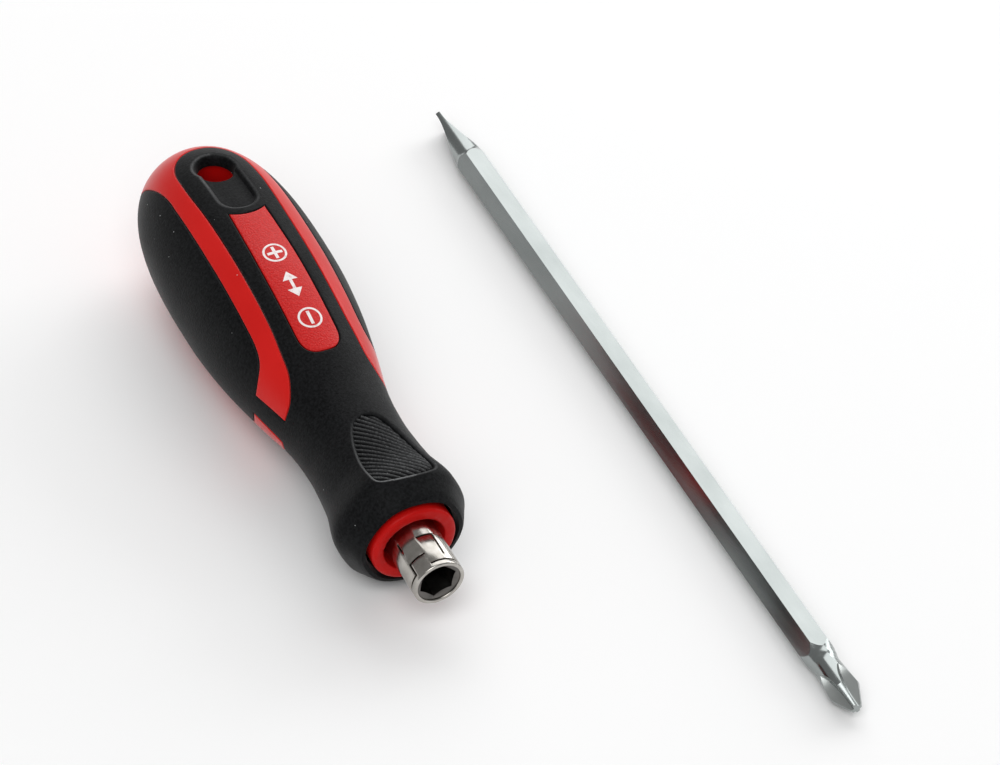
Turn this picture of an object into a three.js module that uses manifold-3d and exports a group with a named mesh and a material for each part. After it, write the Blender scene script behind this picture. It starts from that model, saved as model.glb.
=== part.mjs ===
// Double-ended screwdriver: a two-shot moulded handle with a hex socket, and its loose reversible blade.
// Millimetres, +Z up. The tool lies on a bench, the handle along Y with its socket towards -Y,
// and the blade to the right of it. The origin is on the bench, under the middle of the whole tool.
import * as THREE from 'three';
import { mergeVertices } from 'three/addons/utils/BufferGeometryUtils.js';
import ManifoldModule from 'manifold-3d';

const wasm = await ManifoldModule();
wasm.setup();

// Blade: a hex bar with a slotted tip at its far end and a cross point at its near end
const bladeLength = 180;
const bladeAcrossFlats = 6;
const bladeOffset = 62;
const bladeForward = 59.5;
const bladeYaw = -1.3;
const tipShoulder = 2.1;
const cornerSpare = 0.2;

// Slotted tip
const slotTipThickness = 0.9;
const slotTipWidth = 6;
const slotTaperLength = 13;

// Cross point
const crossEndRadius = 1.15;
const crossConeLength = 4.6;
const crossWingRadius = 3;
const crossNeckRadius = 2.55;
const crossNeckAt = 11.2;
const crossLength = 14.2;
const fluteEndRoot = 0.5;
const fluteLength = 10;

// Socket: a hex-bored bush in a slit sheet sleeve. Places along the handle count from the ring's face,
// and angles about it from the top towards the right
const hexClearance = 0.4;
const hexCornerAngle = 8;
const bushWall = 0.3;
const bushSetBack = 0.4;
const bushEndGap = 3;
const bushLeadIn = 0.5;
const bushRim = 0.1;
const socketFit = 0.2;
const socketReach = 10.3;
const socketSeat = 14;
const sleeveWall = 0.6;
const sleeveEase = 0.25;

// Slits that free a spring tongue, and a nose band that stays joined by a tab
const slitWidth = 0.3;
const noseBandLength = 1.2;
const noseTabLength = 2.7;
const noseTabLeft = -57;
const noseTabRight = -19;
const tongueRear = 2.3;
const tongueLength = 5.3;
const tongueLeft = -17.5;
const tongueRight = 21.5;
const seamFront = 3;
const seamLength = 2;

// Handle's outline
const handleLength = 105.6;
const frontEdgeAt = 1;
const frontEdgeRadius = 10.1;
const collarAt = 7.4;
const collarRadius = 13;
const collarFlats = 6;
const collarFlatness = 0.02;
const collarFlatReach = 8;
const waistAt = 26;
const waistRadius = 10.2;
const bellyAt = 73;
const bellyRadius = 16.15;
const buttPower = 2.5;
const buttRoot = 3;

// Core and grip walls
const gripWall = 2.6;
const shutLine = 0.3;
const ringRecess = 1.75;
const ringRecessDepth = 3.6;
const ringRecessFlare = 0.4;
const ringWidth = 2.15;
const ringEase = 0.6;
const boreWiden = 0.5;
const boreDepth = 25;
const tailLap = 1.5;

// Hang hole and its channel, counted from the butt
const holeFromButt = 14.6;
const holeRadius = 4;
const channelHalfWidth = 3.7;
const channelLength = 13.3;
const channelDepth = 0.9;

// Red stripes and black fields, as arc lengths from the crown line
const stripHalfWidth = 7.5;
const stripFlare = 0.7;
const stripEndFromButt = 6.3;
const stripEndLength = 7.3;
const stripeWidth = 4.5;
const stripeFrontAt = 34.7;
const stripeHeelAt = 43.5;
const stripeFootReach = 7;
const stripeHeelReach = 10.4;
const stripeHeelBend = 5.6;
const panelEndFromButt = 4.5;
const panelEndLength = 15.2;

// Label pad
const labelHalfWidth = 4.3;
const labelFrontAt = 40.8;
const labelNoseLength = 5.2;
const labelToChannel = 2.3;
const labelRearSag = 1.3;
const labelRearNarrow = 0.4;

// Thumb pad
const padFrontAt = 5.9;
const padLength = 19.3;
const padHalfWidth = 6.4;
const padAside = 0.6;
const padDepth = 0.7;
const ribGrooves = 16;
const ribGrooveWidth = 0.5;
const ribGrooveDepth = 0.4;
const ribLean = -44;

// Facets, and how far a cutting solid runs past what it cuts
const turnSegments = 32;
const smallSegments = 24;
const hiddenSegments = 16;
const noseRings = 3;
const neckRings = 4;
const bellyRings = 6;
const buttRings = 7;
const slitStep = 15;
const overrun = 1;

const degrees = THREE.MathUtils.degToRad;
const mix = THREE.MathUtils.lerp;
const outside = 2 * bellyRadius;
const hexCorner = (acrossFlats) => acrossFlats / Math.sqrt(3);

const socketFlats = bladeAcrossFlats + hexClearance;
const bushRadius = hexCorner(socketFlats) + bushWall;
const sleeveBore = bushRadius + socketFit;
const sleeveRadius = sleeveBore + sleeveWall;
const recessRadius = sleeveRadius + ringRecess;
const bossRadius = recessRadius + ringWidth;
const holeAt = handleLength - holeFromButt;
const panelEndAt = handleLength - panelEndFromButt;
const tailAt = panelEndAt + tailLap;

// A closed geometry as a solid that can be joined and cut
function solid(geometry) {
  const bare = new THREE.BufferGeometry();
  bare.setAttribute('position', geometry.getAttribute('position'));
  bare.setIndex(geometry.getIndex());
  const merged = mergeVertices(bare, 1e-4);
  const points = merged.getAttribute('position').array;
  const corners = merged.getIndex().array;
  const triangles = [];
  let volume = 0;
  for (let i = 0; i < corners.length; i += 3) {
    const [a, b, c] = corners.slice(i, i + 3);
    if (a === b || b === c || c === a) continue;
    const [p, q, r] = [a, b, c].map((k) => new THREE.Vector3().fromArray(points, 3 * k));
    volume += p.dot(q.cross(r));
    triangles.push(a, b, c);
  }
  if (volume < 0) triangles.reverse();
  const triVerts = new Uint32Array(triangles);
  return new wasm.Manifold(new wasm.Mesh({ numProp: 3, vertProperties: new Float32Array(points), triVerts }));
}

function join(...solids) {
  return solids.reduce((whole, piece) => whole.add(piece));
}

function named(name, body, material) {
  const { vertProperties, triVerts } = body.getMesh();
  const geometry = new THREE.BufferGeometry();
  geometry.setAttribute('position', new THREE.BufferAttribute(vertProperties, 3));
  geometry.setIndex(new THREE.BufferAttribute(triVerts, 1));
  geometry.computeVertexNormals();
  const mesh = new THREE.Mesh(geometry, material);
  mesh.name = name;
  return mesh;
}

// A turned solid about Y from [radius, y] corners that start and end on the axis
function turned(corners, segments = smallSegments) {
  const profile = corners.map(([radius, y]) => new THREE.Vector2(radius, y));
  return new THREE.LatheGeometry(profile, segments);
}

function rod(radius, from, to, segments = smallSegments) {
  return solid(turned([[0, from], [radius, from], [radius, to], [0, to]], segments));
}

// A hex bar along Y, with one of its corners at an angle from the top
function hexBar(acrossFlats, from, to, cornerAngle) {
  const corner = hexCorner(acrossFlats);
  const bar = new THREE.CylinderGeometry(corner, corner, to - from, 6);
  bar.rotateY(cornerAngle);
  bar.translate(0, (from + to) / 2, 0);
  return solid(bar);
}

// Handle's outer radius: a smooth line through the stations up to the belly, then the domed butt
const stations = [
  [frontEdgeAt, frontEdgeRadius],
  [mix(frontEdgeAt, collarAt, 0.5), mix(frontEdgeRadius, collarRadius, 0.6)],
  [collarAt, collarRadius],
  [mix(collarAt, waistAt, 0.35), mix(collarRadius, waistRadius, 0.6)],
  [mix(collarAt, waistAt, 0.68), mix(collarRadius, waistRadius, 0.9)],
  [waistAt, waistRadius],
  [mix(waistAt, bellyAt, 0.17), mix(waistRadius, bellyRadius, 0.1)],
  [mix(waistAt, bellyAt, 0.38), mix(waistRadius, bellyRadius, 0.46)],
  [mix(waistAt, bellyAt, 0.6), mix(waistRadius, bellyRadius, 0.78)],
  [mix(waistAt, bellyAt, 0.81), mix(waistRadius, bellyRadius, 0.96)],
  [bellyAt, bellyRadius],
];
const stationLine = new THREE.SplineCurve(stations.map(([y, radius]) => new THREE.Vector2(y, radius)));
const outline = stationLine.getPoints(120);

function bodyRadius(y) {
  if (y >= bellyAt) {
    const reach = Math.min(1, (y - bellyAt) / (handleLength - bellyAt));
    return bellyRadius * (1 - reach ** buttPower) ** (1 / buttRoot);
  }
  const next = outline.findIndex((point) => point.x > y);
  if (next <= 0) return frontEdgeRadius;
  const [low, high] = [outline[next - 1], outline[next]];
  return mix(low.y, high.y, (y - low.x) / (high.x - low.x));
}

// Rings along the body: even steps between the outline's turning points, closing up towards the butt
const bodyRings = [];
const stretches = [
  [frontEdgeAt, collarAt, noseRings],
  [collarAt, waistAt, neckRings],
  [waistAt, bellyAt, bellyRings],
];
for (const [from, to, count] of stretches) {
  for (let i = 0; i < count; i += 1) bodyRings.push(mix(from, to, i / count));
}
for (let i = 0; i < buttRings; i += 1) {
  const lean = (i / buttRings) * (Math.PI / 2);
  bodyRings.push(mix(bellyAt, handleLength, Math.sin(lean) ** (2 / buttPower)));
}
bodyRings.push(handleLength);

// The collar is drawn to soft flats, one of them on top
function collarPull(y, angle) {
  const near = Math.exp(-(((y - collarAt) / collarFlatReach) ** 2));
  return 1 - collarFlatness * near * Math.cos(collarFlats * angle);
}

function bodySolid(radiusAt, rings, segments) {
  const corners = rings.map((y) => [Math.max(radiusAt(y), 0), y]);
  const geometry = turned([[0, rings[0]], ...corners, [0, rings.at(-1)]], segments);
  const points = geometry.getAttribute('position');
  for (let i = 0; i < points.count; i += 1) {
    const pull = collarPull(points.getY(i), Math.atan2(points.getX(i), points.getZ(i)));
    points.setXYZ(i, points.getX(i) * pull, points.getY(i), points.getZ(i) * pull);
  }
  return solid(geometry);
}

function bodyLess(depth) {
  return bodySolid((y) => bodyRadius(y) - depth, bodyRings, turnSegments);
}

const body = bodyLess(0);

// Under the grip: the boss in front, then the body's outline less the grip's wall, as far as the all-red tail
const underRings = [...bodyRings.filter((y, i) => i % 2 === 0 && y < tailAt), tailAt + overrun];

function underRadius(y) {
  if (y < collarAt) return bossRadius;
  const under = bodyRadius(y) - gripWall;
  return y < waistAt ? Math.min(under, bossRadius) : under;
}

// Arc lengths on the body become angles about its axis. Past the rear ends of the fields the radius is held
const fieldEndAt = panelEndAt - panelEndLength;

function arcAngle(arc, y) {
  return arc / bodyRadius(Math.min(y, fieldEndAt));
}

// An outline on the unrolled body, bent round it and taken radially from one radius to another
function bent(points, inner, outer, angleOf = arcAngle) {
  const shape = new THREE.Shape(points);
  const geometry = new THREE.ExtrudeGeometry(shape, { depth: 1, steps: 1, bevelEnabled: false });
  const corners = geometry.getAttribute('position');
  for (let i = 0; i < corners.count; i += 1) {
    const [arc, y, depth] = [corners.getX(i), corners.getY(i), corners.getZ(i)];
    const angle = angleOf(arc, y);
    const radius = depth > 0.5 ? outer(y) : inner(y);
    corners.setXYZ(i, radius * Math.sin(angle), y, radius * Math.cos(angle));
  }
  return solid(geometry);
}

// A well through the grip's wall, and the same well with a floor at an even depth under the surface
const underGrip = (y) => Math.max(bodyRadius(y) - 2 * gripWall, overrun);
const overGrip = () => bellyRadius + gripWall;
const well = (points) => bent(points, underGrip, overGrip);
const sunk = (points, depth) => well(points).subtract(bodyLess(depth));

// A quarter of a rounded end, from its tip on the middle line to its side
function roundedEnd(halfWidth, length, power, count) {
  const points = [];
  for (let i = 0; i <= count; i += 1) {
    const lean = (i / count) * (Math.PI / 2);
    points.push([halfWidth * Math.sin(lean) ** (2 / power), length * Math.cos(lean) ** (2 / power)]);
  }
  return points;
}

const flat = (points) => points.map(([arc, y]) => new THREE.Vector2(arc, y));
const smooth = (points, count) => new THREE.SplineCurve(flat(points)).getPoints(count);
const mirrored = (points) => points.map((point) => new THREE.Vector2(-point.x, point.y)).reverse();
const turnedOver = (piece) => piece.rotate([0, 180, 0]);

// One quarter of the red field: a stripe that swings to the side in front and opens to the butt behind.
// The inset draws every edge in, for the play between the two mouldings
function redQuarter(inset) {
  const stripEnd = handleLength - stripEndFromButt;
  const stripTurn = stripEnd - stripEndLength;
  const stripEdge = stripHalfWidth + inset;
  const stripeEdge = stripHalfWidth + stripeWidth - inset;
  const heelSwing = stripeHeelReach - stripeWidth;
  const sideArc = (Math.PI / 2) * bodyRadius(fieldEndAt);
  const front = stripeFrontAt + inset;
  const heel = stripeHeelAt - inset;
  const past = tailAt + overrun;
  const crown = roundedEnd(stripEdge + stripFlare, stripEndLength + inset, 2.5, 6)
    .map(([arc, along]) => [arc, stripTurn + along]);
  const innerEdge = smooth([
    [stripEdge + stripFlare, stripTurn],
    [stripEdge + 0.35 * stripFlare, mix(stripTurn, bellyAt, 0.5)],
    [stripEdge, bellyAt],
    [stripEdge, mix(stripeHeelAt, bellyAt, 0.3)],
    [stripEdge + 0.07 * stripeFootReach, mix(stripeHeelAt, bellyAt, 0.03)],
    [stripEdge + 0.16 * stripeFootReach, mix(stripeFrontAt, stripeHeelAt, 0.55)],
    [stripEdge + 0.5 * stripeFootReach, mix(front, heel, 0.12)],
    [stripEdge + stripeFootReach - 2 * inset, front],
  ], 13);
  const outerEdge = smooth([
    [stripEdge + stripeHeelReach - 2 * inset, heel],
    [stripeEdge + 0.61 * heelSwing, heel + 0.14 * stripeHeelBend],
    [stripeEdge + 0.2 * heelSwing, heel + 0.45 * stripeHeelBend],
    [stripeEdge + 0.03 * heelSwing, heel + stripeHeelBend],
    [stripeEdge, mix(stripeHeelAt, bellyAt, 0.4)],
    [stripeEdge, bellyAt],
    [stripeEdge, fieldEndAt],
  ], 11);
  const panelEnd = roundedEnd(sideArc - stripeEdge, panelEndLength + inset, 2, 8)
    .map(([across, along]) => [sideArc - across, fieldEndAt + along]).reverse();
  return [
    ...flat([[-overrun, past], [-overrun, stripEnd + inset]]),
    ...flat(crown.slice(0, -1)),
    ...innerEdge,
    ...outerEdge,
    ...flat(panelEnd.slice(1)),
    ...flat([[sideArc + overrun, panelEndAt + inset], [sideArc + overrun, past]]),
  ];
}

function labelOutline(inset) {
  const width = labelHalfWidth - inset;
  const rear = holeAt - channelLength - labelToChannel - inset;
  const nose = roundedEnd(width, labelNoseLength - inset, 2.6, 5)
    .map(([arc, along]) => [arc, labelFrontAt + labelNoseLength - along]);
  const rearWidth = width - labelRearNarrow;
  const side = smooth([
    nose.at(-1),
    [width, mix(labelFrontAt, rear, 0.6)],
    [rearWidth, rear + labelRearSag],
  ], 6);
  const back = [0.75, 0.5, 0.25, 0].map((share) => [share * rearWidth, rear + labelRearSag * share ** 2]);
  const half = [...flat(nose.slice(0, -1)), ...side, ...flat(back)];
  return [...half, ...mirrored(half).slice(1, -1)];
}

function channelOutline() {
  const end = roundedEnd(channelHalfWidth, channelHalfWidth, 2, 6)
    .map(([arc, along]) => [arc, holeAt - channelLength + channelHalfWidth - along]);
  const side = [[channelHalfWidth, holeAt - channelLength / 2], [channelHalfWidth, holeAt]];
  const half = flat([...end, ...side]);
  return [...half, ...mirrored(half).slice(0, -1)];
}

function padOutline() {
  const half = smooth([
    [0, padFrontAt],
    [0.5 * padHalfWidth, padFrontAt + 0.01 * padLength],
    [0.92 * padHalfWidth, padFrontAt + 0.06 * padLength],
    [padHalfWidth, padFrontAt + 0.2 * padLength],
    [0.93 * padHalfWidth, padFrontAt + 0.47 * padLength],
    [0.72 * padHalfWidth, padFrontAt + 0.74 * padLength],
    [0.42 * padHalfWidth, padFrontAt + 0.93 * padLength],
    [0, padFrontAt + padLength],
  ], 11);
  const aside = new THREE.Vector2(padAside, 0);
  return [...half, ...mirrored(half).slice(1, -1)].map((point) => point.add(aside));
}

// Fine parallel grooves that leave slanting ribs across the thumb pad
function padGrooves() {
  const rise = Math.tan(degrees(ribLean));
  const halfWidth = ribGrooveWidth / 2 / Math.cos(degrees(ribLean));
  const first = padFrontAt + padHalfWidth * rise;
  const grooves = [];
  for (let i = 0; i < ribGrooves; i += 1) {
    const middle = mix(first, padFrontAt + padLength, (i + 0.7) / ribGrooves);
    const front = [];
    const rear = [];
    for (const arc of [-padHalfWidth, 0, padHalfWidth]) {
      const along = middle + arc * rise;
      front.push([padAside + arc, along - halfWidth]);
      rear.unshift([padAside + arc, along + halfWidth]);
    }
    grooves.push(well(flat([...front, ...rear])));
  }
  return join(...grooves).intersect(well(padOutline())).subtract(bodyLess(padDepth + ribGrooveDepth));
}

// Four mirrored red quarters, and the label pads on top and below, as one cutting solid
function redFields(inset) {
  const quarter = redQuarter(inset);
  const upper = join(well(quarter), well(mirrored(quarter)), well(labelOutline(inset)));
  const tail = rod(outside, tailAt + inset, handleLength + overrun);
  return join(upper, turnedOver(upper), tail);
}

function hangHole(radius) {
  const drill = turned([[0, -outside], [radius, -outside], [radius, outside], [0, outside]]);
  drill.rotateX(Math.PI / 2);
  drill.translate(0, holeAt, 0);
  return solid(drill);
}

function handleCore() {
  const core = bodySolid(underRadius, underRings, hiddenSegments);
  const boss = solid(turned([
    [0, 0],
    [bossRadius - ringEase, 0],
    [bossRadius, ringEase],
    [bossRadius, frontEdgeAt + overrun],
    [0, frontEdgeAt + overrun],
  ], turnSegments));
  const recess = solid(turned([
    [0, -overrun],
    [recessRadius + ringRecessFlare, -overrun],
    [recessRadius, ringEase],
    [sleeveRadius + socketFit, ringRecessDepth],
    [0, ringRecessDepth],
  ]));
  const sleeveSeat = rod(sleeveRadius + socketFit, -overrun, socketSeat + socketFit);
  const bore = rod(hexCorner(socketFlats) + boreWiden, -overrun, boreDepth);
  return join(core, boss, body.intersect(redFields(shutLine)))
    .subtract(join(recess, sleeveSeat, bore, hangHole(holeRadius - shutLine)));
}

function gripOvermould() {
  const grown = (y) => underRadius(y) + shutLine;
  const hollow = join(
    bodySolid(grown, underRings, hiddenSegments),
    rod(bossRadius + shutLine, -overrun, frontEdgeAt + overrun, turnSegments),
  );
  const dressing = join(sunk(channelOutline(), channelDepth), sunk(padOutline(), padDepth), padGrooves());
  return body.subtract(join(hollow, redFields(0), hangHole(holeRadius), dressing, turnedOver(dressing)));
}

// A slit through the sleeve between two angles and two places along it
function slit(leftAngle, rightAngle, from, to) {
  const steps = Math.max(2, Math.ceil((rightAngle - leftAngle) / slitStep));
  const front = [];
  const rear = [];
  for (let i = 0; i <= steps; i += 1) {
    const angle = degrees(mix(leftAngle, rightAngle, i / steps));
    front.push([angle, from]);
    rear.unshift([angle, to]);
  }
  const inner = () => sleeveBore - sleeveWall;
  const outer = () => sleeveRadius + sleeveWall;
  return bent(flat([...front, ...rear]), inner, outer, (angle) => angle);
}

function socketSleeve() {
  const tube = solid(turned([
    [0, -socketReach],
    [sleeveRadius - sleeveEase, -socketReach],
    [sleeveRadius, -socketReach + sleeveEase],
    [sleeveRadius, socketSeat],
    [0, socketSeat],
  ])).subtract(rod(sleeveBore, -socketReach - overrun, socketSeat + overrun));
  const slitAngle = THREE.MathUtils.radToDeg(slitWidth / sleeveRadius);
  const half = slitWidth / 2;
  const noseAt = -socketReach + noseBandLength;
  const tabAt = noseAt + noseTabLength;
  const tabSide = noseTabLeft - slitAngle;
  const slits = join(
    slit(noseTabRight, noseTabLeft + 360, noseAt - half, noseAt + half),
    slit(tabSide, noseTabLeft, noseAt - half, tabAt + half),
    slit(tabSide, noseTabRight, tabAt - half, tabAt + half),
    slit(tongueLeft, tongueRight, -tongueRear - slitWidth, -tongueRear),
    slit(tongueRight - slitAngle, tongueRight, -tongueRear - tongueLength, -tongueRear),
    slit(tabSide, noseTabLeft, -seamFront, -seamFront + seamLength),
  );
  return tube.subtract(slits);
}

function hexBush() {
  const front = bushSetBack - socketReach;
  const rear = socketSeat - bushEndGap;
  const mouth = solid(turned([
    [0, front - overrun],
    [bushRadius - bushRim, front - overrun],
    [bushRadius - bushRim, front],
    [bushRadius - bushWall - bushLeadIn, front + bushLeadIn],
    [0, front + bushLeadIn],
  ]));
  return rod(bushRadius, front, rear)
    .subtract(hexBar(socketFlats, front - overrun, rear + overrun, degrees(hexCornerAngle)))
    .subtract(mouth);
}

// Blade along Y, its cross point at the low end, a flat on top
const bladeCorner = degrees(30);
const flatLean = degrees(60);

function bladeBar() {
  const [low, high] = [-bladeLength / 2, bladeLength / 2];
  const half = bladeAcrossFlats / 2;
  const corner = hexCorner(bladeAcrossFlats) + cornerSpare;
  const crossEnd = smooth([
    [crossWingRadius, low + crossConeLength],
    [mix(crossWingRadius, crossNeckRadius, 0.18), low + mix(crossConeLength, crossNeckAt, 0.18)],
    [crossNeckRadius, low + crossNeckAt],
    [mix(crossNeckRadius, half, 0.55), low + mix(crossNeckAt, crossLength, 0.6)],
    [half, low + crossLength],
    [corner, low + crossLength + tipShoulder],
  ], 9).map((point) => [point.x, point.y]);
  const envelope = solid(turned([
    [0, low],
    [crossEndRadius, low],
    ...crossEnd,
    [corner, high - slotTaperLength - tipShoulder],
    [half, high - slotTaperLength],
    [slotTipWidth / 2, high],
    [0, high],
  ]));
  const bar = hexBar(bladeAcrossFlats, low - overrun, high + overrun, bladeCorner).intersect(envelope);
  return bar.subtract(join(...slotGrinds(high), ...flutes(low)));
}

// The slotted tip's two ground faces, parallel to a pair of the bar's flats
function slotGrinds(tipAt) {
  const half = bladeAcrossFlats / 2;
  const tip = slotTipThickness / 2;
  const beside = 2 * bladeAcrossFlats;
  const heel = tipAt - slotTaperLength;
  const face = smooth([
    [tip, tipAt],
    [mix(tip, half, 0.07), mix(tipAt, heel, 0.23)],
    [mix(tip, half, 0.4), mix(tipAt, heel, 0.58)],
    [mix(tip, half, 0.68), mix(tipAt, heel, 0.78)],
    [mix(tip, half, 0.9), mix(tipAt, heel, 0.93)],
    [half + cornerSpare / 2, heel],
  ], 9);
  const beyond = flat([[beside, heel], [beside, tipAt + overrun], [tip, tipAt + overrun]]);
  const shape = new THREE.Shape([...face, ...beyond]);
  return [0, Math.PI].map((side) => {
    const grind = new THREE.ExtrudeGeometry(shape, { depth: 2 * beside, bevelEnabled: false });
    grind.translate(0, 0, -beside);
    grind.rotateY(side + flatLean - Math.PI / 2);
    return solid(grind);
  });
}

// Four vee flutes between the cross point's wings: deep along the cone, then rising to run out on the neck
function flutes(tipAt) {
  const size = 2 * crossWingRadius;
  const roots = smooth([
    [-overrun, fluteEndRoot],
    [0.3 * fluteLength, mix(fluteEndRoot, crossNeckRadius, 0.03)],
    [0.55 * fluteLength, mix(fluteEndRoot, crossNeckRadius, 0.2)],
    [0.8 * fluteLength, mix(fluteEndRoot, crossNeckRadius, 0.58)],
    [fluteLength + overrun, crossNeckRadius + overrun],
  ], 8);
  const rings = roots.map(({ x: along, y: root }) => [[0, root], [size, root + size], [-size, root + size]]
    .map(([across, out]) => [across, tipAt + along, out]));
  const corners = [];
  for (let i = 1; i < rings.length; i += 1) {
    for (const [a, b] of [[0, 1], [1, 2], [2, 0]]) {
      const [p, q, r, s] = [rings[i - 1][a], rings[i - 1][b], rings[i][a], rings[i][b]];
      corners.push(p, q, s, p, s, r);
    }
  }
  corners.push(...rings[0].toReversed(), ...rings.at(-1));
  const vee = new THREE.BufferGeometry();
  vee.setAttribute('position', new THREE.BufferAttribute(new Float32Array(corners.flat()), 3));
  vee.setIndex(corners.map((corner, i) => i));
  return [0.5, 1.5, 2.5, 3.5].map((quarter) => {
    return solid(vee.clone().rotateY(flatLean + (quarter * Math.PI) / 2));
  });
}

const red = new THREE.MeshStandardMaterial({ color: 0xc41c18, roughness: 0.4, metalness: 0 });
const black = new THREE.MeshStandardMaterial({ color: 0x1e1f21, roughness: 0.75, metalness: 0 });
const sheet = new THREE.MeshStandardMaterial({ color: 0xb9b4ac, roughness: 0.25, metalness: 1 });
const dark = new THREE.MeshStandardMaterial({ color: 0x6f6c68, roughness: 0.4, metalness: 1 });
const steel = new THREE.MeshStandardMaterial({ color: 0xc9ccca, roughness: 0.3, metalness: 1 });

// The handle comes to rest on its collar and its belly, so its axis leans forward
function restingLean() {
  const under = (y) => bodyRadius(y) * collarPull(y, Math.PI);
  let lean = 0;
  let height = 0;
  for (let pass = 0; pass < 6; pass += 1) {
    const drop = (y) => under(y) * Math.cos(lean) - y * Math.sin(lean);
    const lowest = (rings) => rings.reduce((best, y) => (drop(y) > drop(best) ? y : best));
    const front = lowest(bodyRings.filter((y) => y < waistAt));
    const rear = lowest(bodyRings.filter((y) => y > waistAt));
    lean = Math.atan2(under(rear) - under(front), rear - front);
    height = Math.max(drop(front), drop(rear));
  }
  return { lean, height };
}

const handle = new THREE.Group();
handle.add(
  named('handle_core', handleCore(), red),
  named('grip_overmould', gripOvermould(), black),
  named('socket_sleeve', socketSleeve(), sheet),
  named('hex_bush', hexBush(), dark),
);
const { lean, height } = restingLean();
handle.rotation.x = lean;
handle.position.z = height;

const blade = named('blade', bladeBar(), steel);
blade.rotation.z = degrees(bladeYaw);
blade.position.set(bladeOffset, bladeLength / 2 - bladeForward, bladeAcrossFlats / 2);

const tool = new THREE.Group();
tool.add(handle, blade);
tool.updateMatrixWorld(true);
const bounds = new THREE.Box3().setFromObject(tool, true);
const middle = bounds.getCenter(new THREE.Vector3());
tool.position.set(-middle.x, -middle.y, -bounds.min.z);

export default tool;
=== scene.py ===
# Double-ended screwdriver: looks for the moulded handle, its socket and the loose reversible blade
import math

import bmesh
import bpy
import numpy as np
from mathutils import Matrix, Vector, noise


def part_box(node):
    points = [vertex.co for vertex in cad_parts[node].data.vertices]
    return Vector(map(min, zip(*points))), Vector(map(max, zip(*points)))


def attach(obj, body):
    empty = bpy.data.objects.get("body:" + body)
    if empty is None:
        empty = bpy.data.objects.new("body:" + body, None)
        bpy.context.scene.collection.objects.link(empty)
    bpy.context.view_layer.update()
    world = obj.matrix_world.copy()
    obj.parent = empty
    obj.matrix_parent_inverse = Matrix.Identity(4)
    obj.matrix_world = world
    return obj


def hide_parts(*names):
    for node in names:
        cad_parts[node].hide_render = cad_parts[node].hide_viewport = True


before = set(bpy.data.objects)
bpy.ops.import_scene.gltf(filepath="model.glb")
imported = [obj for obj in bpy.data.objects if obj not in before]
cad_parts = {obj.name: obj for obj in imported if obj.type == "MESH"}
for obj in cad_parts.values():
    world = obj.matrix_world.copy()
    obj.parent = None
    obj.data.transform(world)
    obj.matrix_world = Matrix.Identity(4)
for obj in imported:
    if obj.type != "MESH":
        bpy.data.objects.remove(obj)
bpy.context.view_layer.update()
mm = 0.001
overrun = 1.0                              # mm by which a cutter stands past what it cuts

# Where things lie. The handle is modelled in mm: x to the right, y from the ring's face to the butt, z up
bench = {
    "handleLean": 3.206,      # degrees, the axis rises towards the butt
    "sleeveMiddle": 1.85,     # mm behind the ring's face
    "bladeYaw": -1.3,         # degrees about the bench's upright
}


def boxMiddle(node):
    low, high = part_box(node)
    return (Vector(low) + Vector(high)) / 2


lean = math.radians(bench["handleLean"])
handleAxis = Vector((0, math.cos(lean), math.sin(lean)))
ringFace = boxMiddle("socket_sleeve") - handleAxis * bench["sleeveMiddle"] * mm
toHandle = Matrix.Translation(ringFace) @ Matrix.Rotation(lean, 4, "X") @ Matrix.Scale(mm, 4)
yaw = Matrix.Rotation(math.radians(bench["bladeYaw"]), 4, "Z")
toBlade = Matrix.Translation(boxMiddle("blade")) @ yaw @ Matrix.Scale(mm, 4)
places = {"handle": toHandle, "blade": toBlade}


# Shared bmesh steps
def mix(a, b, share):
    return a + (b - a) * share


def allOf(bm):
    return bm.verts[:] + bm.edges[:] + bm.faces[:]


def softLine(points, steps):               # a smooth line through the points, ends included
    pts = [Vector(p) for p in points]
    line = []
    for i in range(len(pts) - 1):
        a, b = pts[max(i - 1, 0)], pts[i]
        c, d = pts[i + 1], pts[min(i + 2, len(pts) - 1)]
        for k in range(steps):
            t = k / steps
            bend = (c - a) * t + (2 * a - 5 * b + 4 * c - d) * t ** 2 + (3 * b - a - 3 * c + d) * t ** 3
            line.append(tuple(b + bend / 2))
    line.append(tuple(pts[-1]))
    return line


def roundEnd(halfWidth, length, power, steps):   # from the tip on the middle line to the side
    turns = [k / steps * math.pi / 2 for k in range(steps + 1)]
    return [(halfWidth * math.sin(t) ** (2 / power), length * math.cos(t) ** (2 / power)) for t in turns]


def looseObject(bm, name):
    mesh = bpy.data.meshes.new(name)
    bm.to_mesh(mesh)
    bm.free()
    loose = bpy.data.objects.new(name, mesh)
    bpy.context.scene.collection.objects.link(loose)
    return loose


def makePiece(bm, name, bodyName, node, material, sharp=35):   # edges past the sharp angle stay hard
    bmesh.ops.remove_doubles(bm, verts=bm.verts, dist=0.002)
    bmesh.ops.dissolve_degenerate(bm, dist=0.001, edges=bm.edges)
    bmesh.ops.recalc_face_normals(bm, faces=bm.faces)
    bmesh.ops.transform(bm, matrix=places[bodyName], verts=bm.verts)
    piece = looseObject(bm, name)
    piece.data.shade_smooth()
    piece.data.set_sharp_from_angle(angle=math.radians(sharp))
    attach(piece, bodyName)
    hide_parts(node)
    piece.data.materials.clear()
    piece.data.materials.append(material)
    print(name, len(piece.data.polygons), "faces")
    return piece


def turnAbout(bm, angle, axis, verts=None):   # degrees about an axis through the origin
    turn = Matrix.Rotation(math.radians(angle), 3, axis)
    bmesh.ops.rotate(bm, cent=(0, 0, 0), matrix=turn, verts=verts or bm.verts)


def roundEdges(bm, chosen, width, segments):
    bmesh.ops.bevel(bm, geom=chosen, offset=width, offset_type="OFFSET", segments=segments, profile=0.5,
                    affect="EDGES", clamp_overlap=True, material=-1)


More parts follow.
